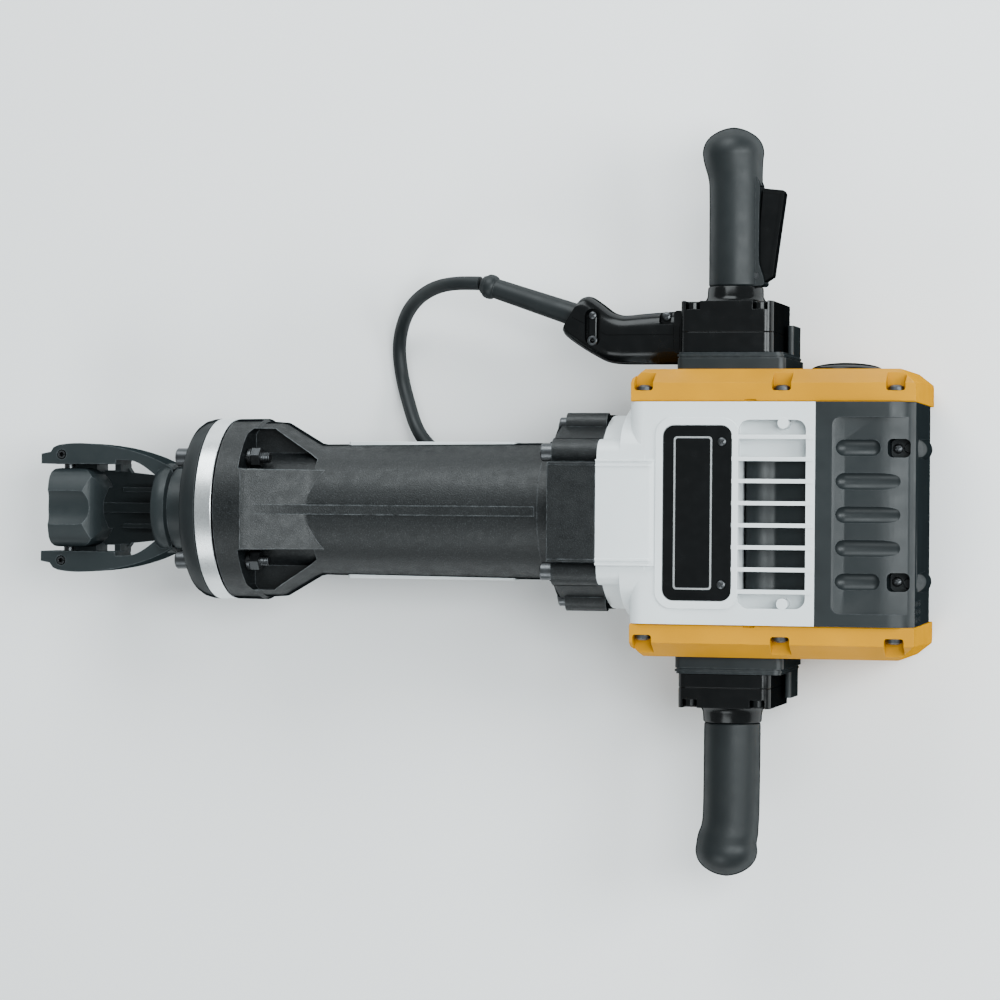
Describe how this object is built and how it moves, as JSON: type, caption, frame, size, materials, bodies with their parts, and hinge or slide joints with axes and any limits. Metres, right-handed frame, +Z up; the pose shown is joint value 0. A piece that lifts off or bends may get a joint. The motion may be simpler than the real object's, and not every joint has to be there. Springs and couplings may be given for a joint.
{
  "type": "demolition hammer",
  "caption": "Electric demolition hammer with a sprung handle on each side, a hexagonal tool holder with a swinging latch, and its lead put away in a tied hank under the barrel.",
  "frame": {"origin": "centre of the footprint, on the ground that the tool lies on", "axes": "+X along the tool axis from the nose to the rear cover, +Y towards the switch handle, +Z up through the nameplate"},
  "size_m": [0.818, 0.662, 0.182],
  "materials": {
    "forged_steel": "dark cast finish",
    "ground_steel": "ground",
    "bolt_steel": "zinc plated",
    "silver_ring": "machined",
    "black_casting": "satin dark grey paint",
    "silver_casting": "satin silver paint",
    "grey_plastic": "fine textured",
    "black_gloss": "gloss",
    "yellow_plastic": "semi-gloss",
    "rubber": "matte",
    "copper": "turned copper",
    "laminations": "varnished laminations",
    "bronze": "cast bronze",
    "carbon": "carbon",
    "seal": "matte"
  },
  "bodies": {
    "machine": {"nose_fork": "forged_steel", "latch_pin_switch_side": "bolt_steel", "latch_pin_plain_side": "bolt_steel", "tool_sleeve": "ground_steel", "bumper_disc": "rubber", "collar_ring": "silver_ring", "nose_bolt_1": "bolt_steel", "nose_bolt_2": "bolt_steel", "nose_bolt_3": "bolt_steel", "nose_bolt_4": "bolt_steel", "barrel_housing": "black_casting", "barrel_bolt_1": "bolt_steel", "barrel_bolt_2": "bolt_steel", "barrel_bolt_3": "bolt_steel", "barrel_bolt_4": "bolt_steel", "cylinder_liner": "ground_steel", "beat_piece_guide": "bronze", "crank_bearing": "ground_steel", "bearing_plate": "silver_casting", "stator": "laminations", "motor_bearing_gear_end": "ground_steel", "motor_bearing_far_end": "ground_steel", "carbon_brush_upper": "carbon", "carbon_brush_lower": "carbon", "body_casting": "silver_casting", "nameplate": "black_casting", "rear_cover": "grey_plastic", "side_cover_switch": "yellow_plastic", "side_cover_plain": "yellow_plastic", "bearing_cap": "black_gloss", "switch_handle_mount": "grey_plastic", "plain_handle_mount": "grey_plastic"},
    "latch": {"tool_latch": "forged_steel"},
    "beat_piece": {"beat_piece": "ground_steel"},
    "ram": {"ram": "ground_steel"},
    "piston": {"piston": "ground_steel", "piston_seal": "seal"},
    "connecting_rod": {"connecting_rod": "forged_steel", "wrist_pin": "ground_steel"},
    "crank": {"crankshaft": "forged_steel", "crank_gear": "ground_steel"},
    "layshaft": {"layshaft": "ground_steel", "intermediate_gear": "ground_steel"},
    "armature": {"armature_shaft": "ground_steel", "armature_core": "laminations", "commutator": "copper", "cooling_fan": "grey_plastic"},
    "switch_handle": {"switch_handle_box": "black_gloss", "switch_handle_grip": "rubber", "trigger_pin": "bolt_steel", "power_switch": "black_gloss", "cord_arm": "black_gloss", "strain_relief": "rubber", "power_cord": "rubber", "cord_hank": "rubber", "hank_tie": "rubber", "plug": "rubber"},
    "trigger": {"trigger": "grey_plastic"},
    "plain_handle": {"plain_handle_box": "black_gloss", "plain_handle_grip": "rubber"}
  },
  "joints": [
    {"name": "latch_swing", "type": "hinge", "parent": "machine", "child": "latch", "pos_m": [-0.3865, -0.01, 0.092], "axis": [0, -1, 0], "range_deg": [0, 110]},
    {"name": "beat_piece_slide", "type": "slide", "parent": "machine", "child": "beat_piece", "axis": [1, 0, 0], "range_m": [0, 0.008]},
    {"name": "ram_slide", "type": "slide", "parent": "machine", "child": "ram", "axis": [1, 0, 0], "range_m": [0, 0.038]},
    {"name": "piston_slide", "type": "slide", "parent": "machine", "child": "piston", "axis": [1, 0, 0], "range_m": [0, 0.054]},
    {"name": "armature_spin", "type": "hinge", "parent": "machine", "child": "armature", "pos_m": [0.3387, -0.01, 0.092], "axis": [0, 1, 0], "continuous": true},
    {"name": "layshaft_spin", "type": "hinge", "parent": "machine", "child": "layshaft", "pos_m": [0.2777, -0.01, 0.092], "axis": [0, 1, 0], "continuous": true},
    {"name": "crank_spin", "type": "hinge", "parent": "machine", "child": "crank", "pos_m": [0.21895, -0.01, 0.092], "axis": [0, 1, 0], "continuous": true},
    {"name": "crank_pin_spin", "type": "hinge", "parent": "crank", "child": "connecting_rod", "pos_m": [0.19195, -0.01, 0.092], "axis": [0, 1, 0], "continuous": true},
    {"name": "switch_handle_slide", "type": "slide", "parent": "machine", "child": "switch_handle", "axis": [1, 0, 0], "range_m": [-0.003, 0.003], "stiffness_N_per_m": 6000},
    {"name": "plain_handle_slide", "type": "slide", "parent": "machine", "child": "plain_handle", "axis": [1, 0, 0], "range_m": [-0.003, 0.003], "stiffness_N_per_m": 6000},
    {"name": "trigger_press", "type": "hinge", "parent": "switch_handle", "child": "trigger", "pos_m": [0.2595, 0.199, 0.092], "axis": [0, 0, 1], "range_deg": [0, 6], "stiffness_Nm_per_rad": 2, "springref_deg": -2.86}
  ],
  "couplings": [
    {"joint": "layshaft_spin", "follows": "armature_spin", "ratio": -0.15094},
    {"joint": "crank_spin", "follows": "armature_spin", "ratio": 0.046122},
    {"joint": "crank_pin_spin", "follows": "armature_spin", "ratio": -0.046122},
    {"joint": "plain_handle_slide", "follows": "switch_handle_slide", "ratio": 1}
  ]
}
